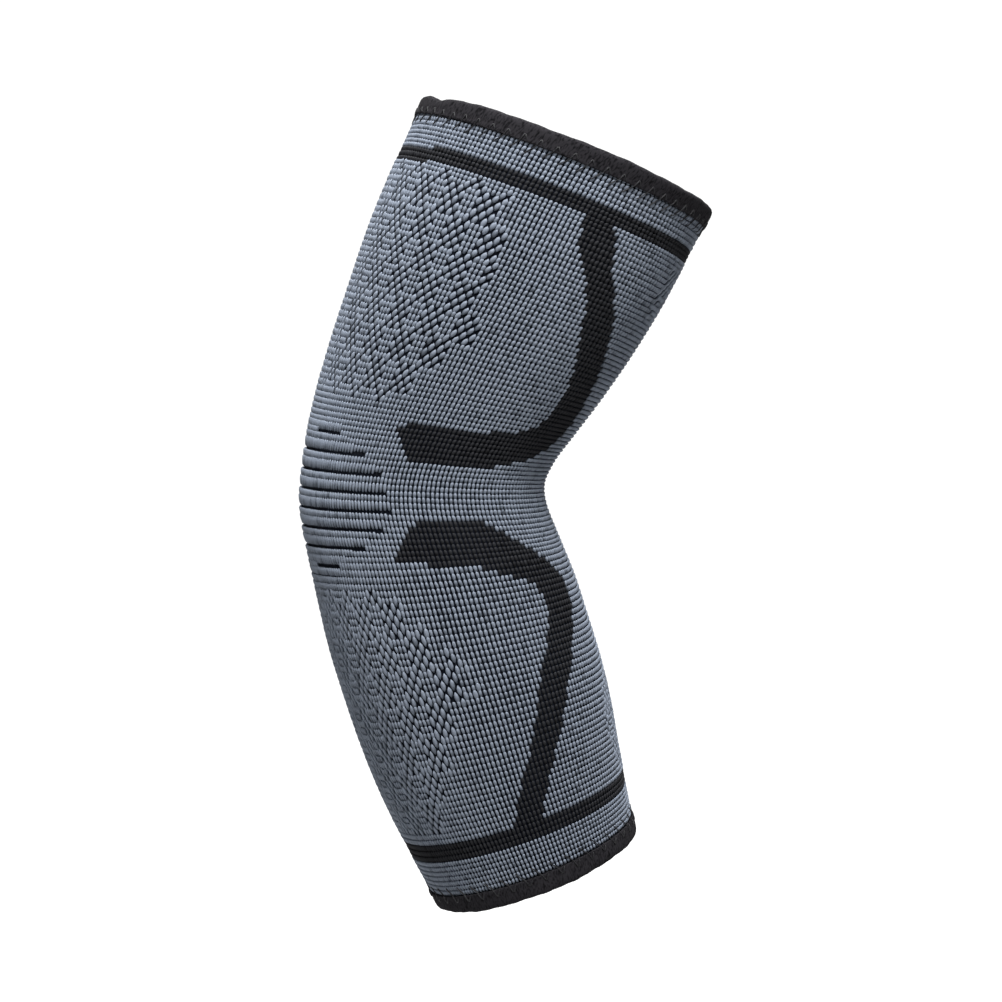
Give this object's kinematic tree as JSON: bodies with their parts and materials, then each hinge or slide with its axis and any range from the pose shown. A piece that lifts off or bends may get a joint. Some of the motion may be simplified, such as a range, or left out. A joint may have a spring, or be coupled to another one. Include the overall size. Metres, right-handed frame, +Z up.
{
  "type": "elbow compression sleeve",
  "caption": "Tubular knitted elbow sleeve in worn, bent shape, with folded bindings at both openings and black bands knitted into a grey face.",
  "frame": {"origin": "centre of the upper arm opening", "axes": "+Z up along the worn sleeve, +X towards the crook of the arm, +Y along the axis the elbow turns about"},
  "size_m": [0.1237, 0.0938, 0.2468],
  "materials": {
    "face_yarn": "matte double knit, melange grey",
    "black_yarn": "matte knit, black",
    "back_yarn": "matte plain knit, near black",
    "tape": "brushed elastic tape, black",
    "thread": "slightly shiny sewing thread, black"
  },
  "bodies": {
    "upper_arm": {"upper_hem": "face_yarn", "upper_ring": "black_yarn", "upper_face": "face_yarn", "upper_stripes": "black_yarn", "upper_back": "back_yarn", "elbow_face": "face_yarn", "elbow_stripes_upper": "black_yarn", "elbow_stripes_lower": "black_yarn", "elbow_lines": "black_yarn", "elbow_back": "back_yarn", "upper_binding": "tape", "upper_stitching": "thread"},
    "forearm": {"forearm_face": "face_yarn", "forearm_stripes": "black_yarn", "lower_ring": "black_yarn", "lower_hem": "face_yarn", "forearm_back": "back_yarn", "lower_binding": "tape", "lower_stitching": "thread"}
  },
  "joints": [
    {"name": "elbow_flex", "type": "hinge", "parent": "upper_arm", "child": "forearm", "pos_m": [-0.04866, 0, -0.09977], "axis": [0, -1, 0], "range_deg": [-44, 56], "stiffness_Nm_per_rad": 0.1, "deforming": ["elbow_face", "elbow_stripes_upper", "elbow_stripes_lower", "elbow_lines", "elbow_back"]}
  ]
}
